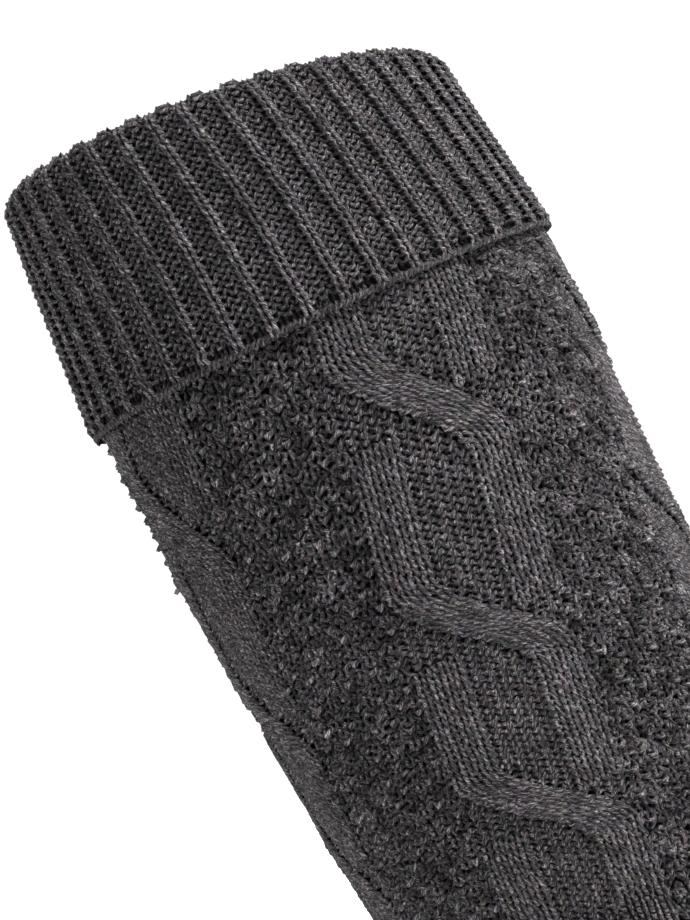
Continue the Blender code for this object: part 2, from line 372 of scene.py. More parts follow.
    def foot(self, angle: np.ndarray, along: np.ndarray, out: np.ndarray) -> np.ndarray:
        """Find points on the foot, or past a share of 1 on the toe.

        Args:
            angle: Degrees round the tube from its instep side.
            along: Shares of the way from the heel to the toe, and from 1 to 2 along the toe.
            out: Distances outside the skin.

        Returns:
            The points, with their three coordinates last.
        """
        turn = np.radians(angle)
        share = np.clip(along, 0.0, 1.0)
        tip = np.clip(along - 1.0, 0.0, 1.0)
        wide = mix(self.ankle_width, self.foot_width, read(FOOT_FORM, "width", share)) / 2
        top = self.instep_height * read(FOOT_FORM, "top", share)
        sole = self.instep_height * read(FOOT_FORM, "sole", share)
        seam = mix(sole, top, self.toe_seam_level)
        kept = read(TOE_FORM, "height", tip)
        wide = mix(self.toe_seam_width / 2, wide, read(TOE_FORM, "width", tip)) + out
        top = mix(seam + self.toe_seam_height / 2, top, kept)
        sole = mix(seam - self.toe_seam_height / 2, sole, kept)
        half = (top - sole) / 2 + out
        length = self.toe_length + np.minimum(out, 0.0)
        y = mix(self.pivot_y, self.toe_start_y, share) - length * tip
        z = (sole + top) / 2 + half * self.lift(turn, self.sole_flatness) - self.height
        return np.stack(np.broadcast_arrays(wide * np.sin(turn), y, z), -1)


FORM = SockForm()


def linear(colour: str) -> tuple[float, float, float, float]:
    """Turn an sRGB hex colour to the linear values that a shader takes.

    Args:
        colour: Six hex digits, such as "2b2a2c".

    Returns:
        Linear red, green, blue and full alpha.
    """
    parts = [int(colour[i : i + 2], 16) / 255 for i in (0, 2, 4)]
    values = [c / 12.92 if c <= 0.04045 else ((c + 0.055) / 1.055) ** 2.4 for c in parts]
    return (*values, 1.0)


class Shading:
    """The node tree of one material, with its Principled shader."""

    def __init__(self, name: str) -> None:
        """Make the material.

        Args:
            name: Its name.
        """
        self.material = bpy.data.materials.new(name)
        self.material.use_nodes = True
        self.tree = self.material.node_tree
        self.shader = self.tree.nodes["Principled BSDF"]

    def feed(self, node: bpy.types.Node, inputs: dict) -> None:
        """Set or link the inputs of a node.

        Args:
            node: The node.
            inputs: Input name or number to its value, or to the output that feeds it.
        """
        for name, value in inputs.items():
            if isinstance(value, Socket):
                self.tree.links.new(value, node.inputs[name])
            else:
                node.inputs[name].default_value = value

    def add(self, kind: str, output: str | int, inputs: dict, **settings) -> Socket:
        """Add one node.

        Args:
            kind: The end of its type's name, such as "Math".
            output: Name or number of the output that is wanted.
            inputs: Input name or number to its value, or to the output that feeds it.
            settings: Attributes of the node itself.

        Returns:
            The wanted output.
        """
        node = self.tree.nodes.new(f"ShaderNode{kind}")
        for name, value in settings.items():
            setattr(node, name, value)
        self.feed(node, inputs)
        return node.outputs[output]

    def maths(self, operation: str, *inputs: float | Socket) -> Socket:
        """Add a sum of values and outputs."""
        return self.add("Math", 0, dict(enumerate(inputs)), operation=operation)

    def rescale(
        self,
        fed_by: Socket,
        given: tuple[float, float],
        wanted: tuple[float, float] = (0.0, 1.0),
    ) -> Socket:
        """Map the given range of a value to the wanted one, and hold it there."""
        return self.add("MapRange", 0, dict(enumerate((fed_by, *given, *wanted))))

    def noise(self, scale: float, detail: float, output: str = "Fac") -> Socket:
        """Add noise that is fixed to the object."""
        place = self.add("TexCoord", "Object", {})
        return self.add("TexNoise", output, {"Scale": scale, "Detail": detail, "Vector": place})

    def multiply(self, colour: Socket, by: Socket) -> Socket:
        """Multiply a colour by a brightness."""
        return self.add("Mix", 2, {0: 1.0, 6: colour, 7: by}, data_type="RGBA", blend_type="MULTIPLY")

    def axes(self, name: str) -> tuple[Socket, Socket]:
        """Return the two axes of one of the mesh's maps."""
        axis = self.add("SeparateXYZ", "X", {0: self.add("UVMap", "UV", {}, uv_map=name)})
        return axis, axis.node.outputs["Y"]

    def shade(self) -> Socket:
        """Return the brightness that the mesh holds at each vertex: painted shade times random tone."""
        return self.add("Attribute", "Fac", {}, attribute_name=SHADE_NAME)

    def ramp(self, fed_by: Socket, stops: tuple) -> Socket:
        """Add a colour ramp.

        Args:
            fed_by: The value that it reads.
            stops: Pairs of place and sRGB hex colour.

        Returns:
            The ramp's colour.
        """
        colour = self.add("ValToRGB", "Color", {0: fed_by})
        marks = colour.node.color_ramp.elements
        while len(marks) < len(stops):
            marks.new(0.5)
        for mark, (place, hex_colour) in zip(marks, stops):
            mark.position = place
            mark.color = linear(hex_colour)
        return colour

    def dress(self, height: Socket, depth: float, inputs: dict) -> bpy.types.Material:
        """Finish the material with a bump and the inputs of its shader.

        Args:
            height: The bump's height.
            depth: How deep it goes, in metres.
            inputs: Input names of the shader to their values, or to the outputs that feed them.

        Returns:
            The material.
        """
        bump = self.add("Bump", "Normal", {"Strength": 1.0, "Distance": depth, "Height": height})
        self.feed(self.shader, {"Normal": bump, **inputs})
        return self.material


@dataclass(frozen=True)
class MarledYarn:
    """Charcoal wool and acrylic yarn, plied from dark and pale grey fibre.

    The plies give slanting streaks, the fibres fine pale flecks, and the spun surface a soft sheen.
    """

    name: str = "charcoal_marled_wool"
    dark: str = "0d090b"
    body: str = "2a2629"
    pale: str = "5e595c"
    fleck: str = "989294"
    rust: str = "34120f"
    tone_stops: tuple[float, ...] = (0.42, 0.78, 1.06, 1.28)
    tone_span: float = 1.3
    ply_pitch_mm: float = 3.4
    plies: int = 2
    ply_share: float = 0.26
    radius_mm: float = 0.65
    fibre_mm: float = 0.30
    fibre_run_mm: float = 0.75
    fibre_detail: float = 3.0
    fibre_roughness: float = 0.65
    fibre_range: tuple[float, float] = (0.32, 0.68)
    fibre_tones: tuple[float, float] = (-0.10, 1.10)
    cloud_scale: float = 320.0
    cloud_share: float = 0.45
    speck_scale: float = 380.0
    speck_range: tuple[float, float] = (0.72, 0.78)
    speck_share: float = 0.5
    dye_scale: float = 300.0
    hue_spread: float = 0.38
    bump_depth: float = 0.00032
    roughness: float = 0.72
    gloss: float = 0.20
    sheen: float = 0.03
    sheen_roughness: float = 0.4

    def build(self) -> bpy.types.Material:
        """Build the material, which reads the yarn's own map in millimetres along and turns around.

        Returns:
            The material.
        """
        nodes = Shading(self.name)
        along, around = nodes.axes(YARN_MAP)
        twist = nodes.maths("MULTIPLY", along, self.plies / self.ply_pitch_mm)
        turns = nodes.maths("MULTIPLY", around, float(self.plies))
        angle = nodes.maths("MULTIPLY", nodes.maths("ADD", twist, turns), TURN)
        ply = nodes.rescale(nodes.maths("SINE", angle), (-1.0, 1.0))
        fibre = self.fibre(nodes, along, angle)
        mixed = nodes.maths("MULTIPLY_ADD", ply, self.ply_share, fibre)
        marl = nodes.maths("MULTIPLY_ADD", nodes.noise(self.cloud_scale, 2.0), self.cloud_share, mixed)
        places = [place / self.tone_span for place in self.tone_stops]
        colours = (self.dark, self.body, self.pale, self.fleck)
        scaled = nodes.maths("DIVIDE", marl, self.tone_span)
        tone = nodes.ramp(scaled, tuple(zip(places, colours)))
        # Painted shade: the mesh's shade darkens the base colour and the gloss in the hollows between
        # loops.
        shade = nodes.shade()
        inputs = {
            "Base Color": nodes.multiply(self.dyed(nodes, tone), shade),
            "Specular IOR Level": nodes.maths("MULTIPLY", shade, self.gloss),
            "Roughness": self.roughness,
            "Sheen Weight": self.sheen,
            "Sheen Roughness": self.sheen_roughness,
        }
        return nodes.dress(nodes.maths("ADD", fibre, ply), self.bump_depth, inputs)

    def fibre(self, nodes: Shading, along: Socket, angle: Socket) -> Socket:
        """Add the fibres, which run with the twist of the plies.

        Args:
            nodes: The material's nodes.
            along: Millimetres along the yarn.
            angle: Angle of the plies' twist.

        Returns:
            How pale the fibres are.
        """
        once = nodes.maths("DIVIDE", angle, float(self.plies))
        run = nodes.maths("MULTIPLY", along, 1 / self.fibre_run_mm)
        thick = self.radius_mm / self.fibre_mm
        high = nodes.maths("MULTIPLY", nodes.maths("COSINE", once), thick)
        wide = nodes.maths("MULTIPLY", nodes.maths("SINE", once), thick)
        grain = {
            "Scale": 1.0,
            "Detail": self.fibre_detail,
            "Roughness": self.fibre_roughness,
            "Vector": nodes.add("CombineXYZ", 0, {0: run, 1: high, 2: wide}),
        }
        return nodes.rescale(nodes.add("TexNoise", "Fac", grain), self.fibre_range, self.fibre_tones)

    def dyed(self, nodes: Shading, tone: Socket) -> Socket:
        """Add rare rust specks and a slight drift of hue.

        Args:
            nodes: The material's nodes.
            tone: The yarn's grey.

        Returns:
            The dyed colour.
        """
        rare = nodes.rescale(nodes.noise(self.speck_scale, 1.0), self.speck_range, (0.0, self.speck_share))
        tinted = nodes.add("Mix", 2, {0: rare, 6: tone, 7: linear(self.rust)}, data_type="RGBA")
        spread = (self.hue_spread,) * 3
        level = (1 - self.hue_spread / 2,) * 3
        dyes = {0: nodes.noise(self.dye_scale, 2.0, "Color"), 1: spread, 2: level}
        hue = nodes.add("VectorMath", 0, dyes, operation="MULTIPLY_ADD")
        return nodes.add("VectorMath", 0, {0: tinted, 1: hue}, operation="MULTIPLY")


@dataclass(frozen=True)
class KnittedFace:
    """Stocking stitch of the same yarn, drawn on a smooth wall.

    Each stitch is a V of two slanting legs; painted shade darkens its low parts, near black between
    neighbours.
    """

    name: str = "charcoal_stocking_stitch"
    gap: str = "060506"
    body: str = "1f1c1e"
    pale: str = "4c4849"
    tone_stops: tuple[float, ...] = (0.10, 0.50, 0.85)
    slant: float = 0.62
    leg_depth: float = 0.6
    row_depth: float = 0.35
    fibre_depth: float = 0.8
    fibre_scale: float = 1600.0
    height_range: tuple[float, float] = (-0.6, 1.4)
    stitch_tones: tuple[float, float] = (0.45, 1.45)
    depth_mm: float = 0.8
    roughness: float = 0.8
    gloss: float = 0.12
    sheen: float = 0.03
    sheen_roughness: float = 0.4

    def build(self) -> bpy.types.Material:
        """Build the material, which reads the wall's own map in stitches and rows.

        Returns:
            The material.
        """
        nodes = Shading(self.name)
        stitches, rows = nodes.axes(STITCH_MAP)
        wale = nodes.maths("FRACT", stitches)
        side = nodes.maths("ABSOLUTE", nodes.maths("SUBTRACT", wale, 0.5))
        row = nodes.maths("SUBTRACT", rows, nodes.maths("MULTIPLY", side, self.slant * 2))
        bow = nodes.maths("COSINE", nodes.maths("MULTIPLY", row, TURN))
        leg = nodes.maths("COSINE", nodes.maths("MULTIPLY", side, 2 * TURN))
        ridge = nodes.maths("MULTIPLY", leg, -self.leg_depth)
        height = nodes.maths("MULTIPLY_ADD", bow, self.row_depth, ridge)
        rough = nodes.maths("MULTIPLY_ADD", nodes.noise(self.fibre_scale, 3.0), self.fibre_depth, height)
        # Painted shade: the low parts of the stitches' height, between legs and rows, take the near-black
        # colour.
        stops = tuple(zip(self.tone_stops, (self.gap, self.body, self.pale)))
        tone = nodes.ramp(nodes.rescale(rough, self.height_range), stops)
        leg_no = nodes.maths("FLOOR", nodes.maths("MULTIPLY", stitches, 2.0))
        stitch = nodes.add("CombineXYZ", 0, {0: leg_no, 1: nodes.maths("ROUND", row)})
        chance = nodes.add("TexWhiteNoise", "Value", {"Vector": stitch})
        marl = nodes.rescale(chance, (0.0, 1.0), self.stitch_tones)
        inputs = {
            "Base Color": nodes.multiply(tone, nodes.maths("MULTIPLY", marl, nodes.shade())),
            "Specular IOR Level": self.gloss,
            "Roughness": self.roughness,
            "Sheen Weight": self.sheen,
            "Sheen Roughness": self.sheen_roughness,
        }
        return nodes.dress(rough, self.depth_mm / 1000, inputs)


@dataclass(frozen=True)
class FloorPaint:
    """Matt white paint of the studio floor."""

    name: str = "white_floor"
    white: str = "f7f7f7"
    roughness: float = 0.9

    def build(self) -> bpy.types.Material:
        """Build the material."""
        nodes = Shading(self.name)
        nodes.feed(nodes.shader, {"Base Color": linear(self.white), "Roughness": self.roughness})
        return nodes.material


@dataclass
class MeshMaker:
    """Corner lists of one piece, gathered before its mesh is made."""

    points: list = field(default_factory=list)
    corners: list = field(default_factory=list)
    sizes: list = field(default_factory=list)
    maps: list = field(default_factory=list)
    shades: list = field(default_factory=list)
    count: int = 0

    def add_faces(self, faces: np.ndarray, coords: np.ndarray) -> None:
        """Add faces of one size.

        Args:
            faces: Vertex numbers, one row for each face.
            coords: Map coordinates of each corner.
        """
        self.corners.append(faces.ravel())
        self.sizes.append(np.full(len(faces), faces.shape[1]))
        self.maps.append(coords.reshape(-1, 2))

    def add_grid(self, points: np.ndarray, coords: np.ndarray, shade: np.ndarray, closed: bool) -> None:
        """Skin rows of rings with quads.

        Args:
            points: Vertices by row, ring and place round the ring.
            coords: Map coordinates in the same order, with one more ring and one more place.
            shade: Brightness of each vertex, in the same order.
            closed: Whether a row's last ring joins its first, where otherwise both are capped.
        """
        rows, rings, sides = points.shape[:3]
        number = self.count + np.arange(rows * rings * sides).reshape(rows, rings, sides)
        spans = rings if closed else rings - 1
        r, m, k = np.meshgrid(np.arange(rows), np.arange(spans), np.arange(sides), indexing="ij")
        m2 = (m + 1) % rings
        k2 = (k + 1) % sides
        quads = np.stack([number[r, m, k], number[r, m, k2], number[r, m2, k2], number[r, m2, k]], -1)
        corners = [coords[r, m, k], coords[r, m, k + 1], coords[r, m + 1, k + 1], coords[r, m + 1, k]]
        self.add_faces(quads.reshape(-1, 4), np.stack(corners, -2))
        if not closed:
            for caps in (number[:, 0, ::-1], number[:, -1]):
                self.add_faces(caps, np.zeros((caps.size, 2)))
        self.points.append(points.reshape(-1, 3))
        self.shades.append(shade.ravel())
        self.count += number.size

    def build(self, name: str, map_name: str, material: bpy.types.Material) -> bpy.types.Object:
        """Make the piece's smooth object.

        Args:
            name: Its name.
            map_name: Name of its map.
            material: Its material.

        Returns:
            The new object, at the origin.
        """
        points = np.concatenate(self.points)
        corners = np.concatenate(self.corners)
        sizes = np.concatenate(self.sizes)
        mesh = bpy.data.meshes.new(name)
        mesh.vertices.add(len(points))
        mesh.vertices.foreach_set("co", points.astype(np.float32).ravel())
        mesh.loops.add(len(corners))
        mesh.loops.foreach_set("vertex_index", corners.astype(np.int32))
        mesh.polygons.add(len(sizes))
        starts = np.concatenate(([0], np.cumsum(sizes)[:-1]))
        mesh.polygons.foreach_set("loop_start", starts.astype(np.int32))
        mesh.polygons.foreach_set("loop_total", sizes.astype(np.int32))
        mesh.polygons.foreach_set("use_smooth", np.ones(len(sizes), bool))
        mesh.update(calc_edges=True)
        layer = mesh.uv_layers.new(name=map_name)
        layer.uv.foreach_set("vector", np.concatenate(self.maps).astype(np.float32).ravel())
        tone = mesh.attributes.new(SHADE_NAME, "FLOAT", "POINT")
        tone.data.foreach_set("value", np.concatenate(self.shades).astype(np.float32))
        mesh.validate()
        mesh.materials.append(material)
        piece = bpy.data.objects.new(name, mesh)
        bpy.context.scene.collection.objects.link(piece)
        return piece


@dataclass(frozen=True)
class Gauge:
    """How the yarn loops of one fabric are laid, in stitches, rows and metres."""

    radius: float
    swing: float = 0.19
    reach: float = 0.86
    depth: float = 0.00070
    # Painted shade darkens the yarn from the crest level down to the hollow level, as shares of the loops'
    # depth and radius.
    hollow_level: float = -0.6
    crest_level: float = 0.85
    hollow_shade: float = 0.05
    samples: int = 6
    sides: int = 4


@dataclass(frozen=True)
class Unevenness:
    """Spread of the differences between hand-made stitches, in stitches, rows, metres and shares."""

    place: float = 0.045
    row: float = 0.060
    lift: float = 0.00006
    marl: float = 0.05
    clump: float = 0.5
    clump_lift: float = 0.00017
    # Painted light and shade that follow the clumps' lift: raised clumps paler, sunk ones darker.
    clump_shade: float = 0.09
    thickness: float = 0.09
    tone: float = 0.08


HAND_KNIT = Unevenness()


@dataclass
class Fabric:
    """A charted stretch of knitting: places in degrees, stitches, lifts and tones for each row, where the
    tones hold painted shade on stitches in hollows.

    Lean is how far a stitch slants and aside how far it sits off its wale, in degrees and wales.
    """

    place: np.ndarray
    stitch: np.ndarray
    lift: np.ndarray
    uneven: np.ndarray
    tone: np.ndarray
    lean: np.ndarray
    first_row: float
    aside: np.ndarray | None = None


def unit(vectors: np.ndarray) -> np.ndarray:
    """Return vectors scaled to a length of one."""
    return vectors / np.linalg.norm(vectors, axis=-1, keepdims=True)


@dataclass
class Strands:
    """Rows of yarn before they are skinned.

    The centres and the directions outwards go by row and sample, and so do the radii. The
    shades have the side of the yarn as a third axis.
    """

    centre: np.ndarray
    normal: np.ndarray
    radius: np.ndarray
    shade: np.ndarray
    stride: float
    closed: bool

    def skin(self, maker: MeshMaker) -> None:
        """Skin the yarn with quads.

        Args:
            maker: Where the tubes go.
        """
        if self.closed:
            run = np.roll(self.centre, -1, axis=1) - np.roll(self.centre, 1, axis=1)
        else:
            run = np.gradient(self.centre, axis=1)
        tangent = unit(run)
        side = unit(np.cross(tangent, self.normal))
        up = np.cross(side, tangent)
        rows, samples, sides = self.shade.shape
        angle = np.arange(sides) * TURN / sides
        high = (self.radius[..., None] * np.cos(angle))[..., None] * up[:, :, None, :]
        wide = (self.radius[..., None] * np.sin(angle))[..., None] * side[:, :, None, :]
        points = self.centre[:, :, None, :] + high + wide
        along = 1000 * self.stride * np.arange(samples + 1) + ROW_SHIFT_MM * np.arange(rows)[:, None]
        coords = np.stack(np.broadcast_arrays(along[..., None], np.arange(sides + 1) / sides), -1)
        maker.add_grid(points, coords, self.shade, self.closed)


@dataclass(frozen=True)
class Course:
    """Samples along one row of loops, and the stitches that they belong to.

    The turn runs from 0 to a full circle over each loop. Samples of its second half belong to
    the stitch that follows. Lone numbers the stitches that the samples are read between.
    """

    turn: np.ndarray
    this: np.ndarray
    following: np.ndarray
    own: np.ndarray
    across: np.ndarray
    lone: np.ndarray
    count: int

    def read(self, values: np.ndarray) -> np.ndarray:
        """Return a row's values, one for each stitch, at the samples."""
        return np.interp(self.across, self.lone, values[self.lone % self.count])

    def read_place(self, places: np.ndarray) -> np.ndarray:
        """Return a row's places in degrees at the samples, which may pass the full circle."""
        wraps = (self.lone // self.count) * FULL_CIRCLE
        return np.interp(self.across, self.lone, places[self.lone % self.count] + wraps)


def lay_course(gauge: Gauge, first: int, last: int, count: int) -> Course:
    """Place the samples of a row.

    Args:
        gauge: The loops' shape and fineness.
        first: The first wale.
        last: The last wale, the same as the first for the whole ring.
        count: Stitches in the whole ring.

    Returns:
        The samples.
    """
    end = first + count if first == last else last
    stitch_no = np.repeat(np.arange(first, end), gauge.samples)
    turn = np.tile(np.arange(gauge.samples) * TURN / gauge.samples, end - first)
    if first != last:
        stitch_no = np.append(stitch_no, end)
        turn = np.append(turn, 0.0)
    this = stitch_no % count
    following = (stitch_no + 1) % count
    own = np.where(turn < math.pi, this, following)
    across = stitch_no + turn / TURN + gauge.swing * np.sin(2 * turn)
    return Course(turn, this, following, own, across, np.arange(first - 1, end + 3), count)


def knit_by_hand(fabric: Fabric, chance: np.random.Generator) -> tuple[Fabric, np.ndarray]:
    """Give each stitch of a chart its own small differences.

    Args:
        fabric: The even chart.
        chance: Where the differences are drawn from.

    Returns:
        The uneven chart, and how many rows up each stitch sits.
    """
    shape = fabric.place.shape
    aside = chance.normal(0, HAND_KNIT.place, shape) * fabric.uneven
    up = chance.normal(0, HAND_KNIT.row, shape) * fabric.uneven
    marl = fabric.tone * (1 + chance.normal(0, HAND_KNIT.marl, shape) * (2 + fabric.uneven))
    lift = chance.normal(0, HAND_KNIT.lift, shape) * fabric.uneven
    clump = chance.normal(0, HAND_KNIT.clump, shape)
    clump = clump + np.roll(clump, 1, axis=0)
    clump = (clump + np.roll(clump, 1, axis=1)) * (fabric.uneven - 1)
    lift = fabric.lift + lift + HAND_KNIT.clump_lift * clump
    # Painted light and shade: clumps are painted paler where they are lifted and darker where they sink.
    tone = marl * (1 + HAND_KNIT.clump_shade * clump)
    return replace(fabric, lift=lift, tone=tone, aside=aside), up


def loop_row(
    fabric: Fabric, row: int, up: np.ndarray, gauge: Gauge, course: Course
) -> tuple[np.ndarray, np.ndarray, np.ndarray]:
    """Shape one row of loops.

    Args:
        fabric: The uneven chart.
        row: The row's number in the chart.
        up: How many rows up each of its stitches sits.
        gauge: The loops' shape.
        course: The row's samples.

    Returns:
        The place in degrees, the row from the rim and the height above the fabric of each sample.
    """
    turn = course.turn
    at = course.read_place(fabric.place[row])
    at = at + fabric.aside[row][course.own] * FULL_CIRCLE / course.count
    at = at + gauge.reach * np.cos(turn) * course.read(fabric.lean[row])
    stitch = fabric.stitch[row]
    above = fabric.stitch[row + 1][course.own]
    link = (stitch[course.this] + stitch[course.following]) / 2
    back = np.where(np.cos(turn) > 0, above, link)
    height = gauge.depth * (np.sin(turn) ** 2 * stitch[course.own] - np.cos(turn) ** 2 * back)
    level = fabric.first_row + row + gauge.reach * np.cos(turn) + up[course.own]
    return at, level, height


def shade_yarn(height: np.ndarray, radius: np.ndarray, marl: np.ndarray, gauge: Gauge) -> np.ndarray:
    """Paint shade on the yarn in the hollows between loops and on its inward side.

    Args:
        height: Height of each sample above the fabric.
        radius: The yarn's radius at the samples.
        marl: Tone of the stitch at the samples.
        gauge: The loops' shape and fineness.

    Returns:
        The brightness by row, sample and side: painted shade times the stitches' tone.
    """
    angle = np.arange(gauge.sides) * TURN / gauge.sides
    top = height[..., None] + radius[..., None] * np.cos(angle).clip(0)
    deep = gauge.depth + gauge.radius
    tone = mix(gauge.hollow_shade, 1.0, step(gauge.hollow_level * deep, gauge.crest_level * deep, top))
    return tone * marl[..., None]


def lay_yarn(
    fabric: Fabric, gauge: Gauge, surface: Callable, wales: tuple[int, int], maker: MeshMaker, seed: int
) -> None:
    """Lay one yarn along each row of a fabric as interlocked loops.

    Args:
        fabric: The chart, whose last row only shapes the loops of the row before.
        gauge: The loops' shape and fineness.
        surface: Function from place, row and distance outwards to points.
        wales: First and last wale, the same number twice for the whole ring.
        maker: Where the tubes go.
        seed: Seed of the hand-knitted unevenness.
    """
    chance = np.random.default_rng(seed)
    rows = fabric.place.shape[0] - 1
    course = lay_course(gauge, *wales, fabric.place.shape[1])
    knitted, up = knit_by_hand(fabric, chance)
    centres = []
    normals = []
    heights = []
    for row in range(rows):
        at, level, height = loop_row(knitted, row, up[row], gauge, course)
        out = height + course.read(knitted.lift[row])
        centre = surface(at, level, out)
        heights.append(height)
        centres.append(centre)
        normals.append(unit(surface(at, level, out + PROBE) - centre))
    centre = np.array(centres)
    samples = centre.shape[1]
    wide = gauge.radius * (1.0 if gauge.sides > 3 else FLAT_YARN)
    radius = wide * (1 + chance.normal(0, HAND_KNIT.thickness, (rows, samples)))
    tone = shade_yarn(np.array(heights), radius, knitted.tone[:rows, course.own], gauge)
    tone = tone * (1 + chance.normal(0, HAND_KNIT.tone, (rows, samples, 1)))
    # Painted light: yarn of three sides is painted paler than yarn of four.
    if gauge.sides == 3:
        tone = tone * (FLAT_PAINTED_LIGHT if gauge.samples > 4 else PLAINEST_PAINTED_LIGHT)
    stride = np.linalg.norm(np.diff(centre, axis=1), axis=-1).mean()
    Strands(centre, np.array(normals), radius, tone, stride, wales[0] == wales[1]).skin(maker)


@dataclass
class Section:
    """A knitted section of the sock, which dresses one CAD node."""

    node: str
    slot: Slot

    def finish(self, maker: MeshMaker, name: str, map_name: str, material: bpy.types.Material) -> None:
        """Make a piece and tie it to the sock.

        Args:
            maker: The piece's faces.
            name: Its name.
            map_name: Name of its map.
            material: Its material.
        """
        piece = maker.build(name, map_name, material)
        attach(piece, "root")
        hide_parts(self.node)
        triangles = sum(len(face.vertices) - 2 for face in piece.data.polygons)
        LOG.info("%s: %d triangles", piece.name, triangles)


@dataclass
class TurnedCuff(Section):
    """The K1 P2 rib, folded down over the leg."""

    ribs: int = 45
    rib_wales: int = 3
    flap_rows: int = 29
    fold_rows: int = 5
    first_level: float = 1.6
    front_share: float = 0.25
    crest: float = 0.0012
    trough: float = -0.0006
    fold_crest: float = -0.0004
    fold_trough: float = 0.0006
    fold_start: float = -0.15
    fold_full: float = 0.35
    fold_fade: float = 0.65
    swing: float = 0.16
    radius: float = 0.00058
    edge_stretch: float = 1.3
    edge_samples: int = 6
    edge_level: float = 0.0005
    edge_lift: float = 0.0005
    edge_twist: float = 0.00050
    edge_flatness: float = 0.7
    edge_thickness: float = 0.9
    edge_hollow_shade: float = 0.65
    edge_sides: int = 4
    edge_shades: tuple[float, float] = (0.10, 0.75)
    uneven_phase: float = 0.25
    uneven_level: float = 0.00014
    uneven_thickness: float = 0.10

    @property
    def wales(self) -> int:
        """Stitches round the cuff."""
        return self.ribs * self.rib_wales

    def chart(self) -> Fabric:
        """Chart the rib from the hem to the inside of the fold.

        Returns:
            The charted fabric.
        """
        rows = self.flap_rows + self.fold_rows + 1
        place = np.tile(np.arange(self.wales) * 360 / self.wales, (rows, 1))
        knit = np.arange(self.wales) % self.rib_wales == 0
        stitch = np.where(knit, Stitch.KNIT.value, Stitch.PURL.value)
        past = np.arange(rows) + self.first_level - self.flap_rows
        bend = np.clip(past / self.fold_rows, self.fold_start, 1.0)[:, None]
        over = step(self.fold_start, self.fold_full, bend) * (1 - step(self.fold_fade, 1.0, bend))
        crest = mix(self.crest, self.fold_crest, over)
        trough = mix(self.trough, self.fold_trough, over)
        even = np.ones_like(place)
        tone = even.copy()
        # Painted shade: the first row's purl stitches, over the holes above the hem, are painted darker.
        tone[0] = np.where(knit, 1.0, self.edge_hollow_shade)
        lift = np.where(knit, crest, trough)
        return Fabric(place, np.tile(stitch, (rows, 1)), lift, even, tone, 0 * even, 0.0)

    def surface(self, place: np.ndarray, row: np.ndarray, out: np.ndarray) -> np.ndarray:
        """Find points of the cuff.

        Args:
            place: Degrees round it.
            row: Row numbers from the hem.
            out: Distances outwards.

        Returns:
            The points.
        """
        straight = FORM.cuff_depth - FORM.rib_wall - FORM.fold_gap / 2
        flap = straight / self.flap_rows
        fold = math.pi * FORM.fold_bend / self.fold_rows
        row = self.first_level + np.where(row < 0, row * self.edge_stretch, row)
        along = np.where(row < self.flap_rows, row * flap, straight + (row - self.flap_rows) * fold)
        return FORM.cuff(place, along, out)

    def build(self, yarn: bpy.types.Material) -> None:
        """Knit the flap and the fold, front and back.

        Args:
            yarn: The yarn's material.
        """
        fabric = self.chart()
        front = MeshMaker()
        back = MeshMaker()
        edge = round(self.wales * self.front_share)
        fine = Gauge(swing=self.swing, radius=self.radius, samples=7)
        coarse = Gauge(swing=self.swing, radius=self.radius, samples=5, sides=3)
        lay_yarn(fabric, fine, self.surface, (-edge, edge), front, SEED)
        lay_yarn(fabric, coarse, self.surface, (edge, self.wales - edge), back, SEED)
        self.lay_edge(front)
        self.finish(front, "cuff_rib_front", YARN_MAP, yarn)
        self.finish(back, "cuff_rib_back", YARN_MAP, yarn)

    def lay_edge(self, maker: MeshMaker) -> None:
        """Lay the two twisted strands of the cast-off edge round the hem.

        Args:
            maker: Where the strands go.
        """
        chance = np.random.default_rng(EDGE_SEED)
        count = self.wales * self.edge_samples
        turn = np.arange(count) * TURN / count
        angle = np.arange(self.edge_sides) * TURN / self.edge_sides
        # Painted shade: each strand is darkest on its inward side and palest outwards.
        shade = np.tile(mix(*self.edge_shades, (1 + np.cos(angle)) / 2), (1, count, 1))
        for strand in range(2):
            phase = turn * self.wales + strand * math.pi + chance.normal(0, self.uneven_phase, count)
            along = self.edge_level + self.edge_twist * np.sin(phase)
            along = along + chance.normal(0, self.uneven_level, count)
            out = self.edge_lift + self.edge_twist * np.cos(phase) * self.edge_flatness
            centre = FORM.cuff(np.degrees(turn), along, out)
            normal = FORM.cuff(np.degrees(turn), along, out + PROBE) - centre
            radius = self.radius * (self.edge_thickness + chance.normal(0, self.uneven_thickness, count))
            stride = np.linalg.norm(centre[1] - centre[0])
            Strands(centre[None], normal[None], radius[None], shade, stride, True).skin(maker)


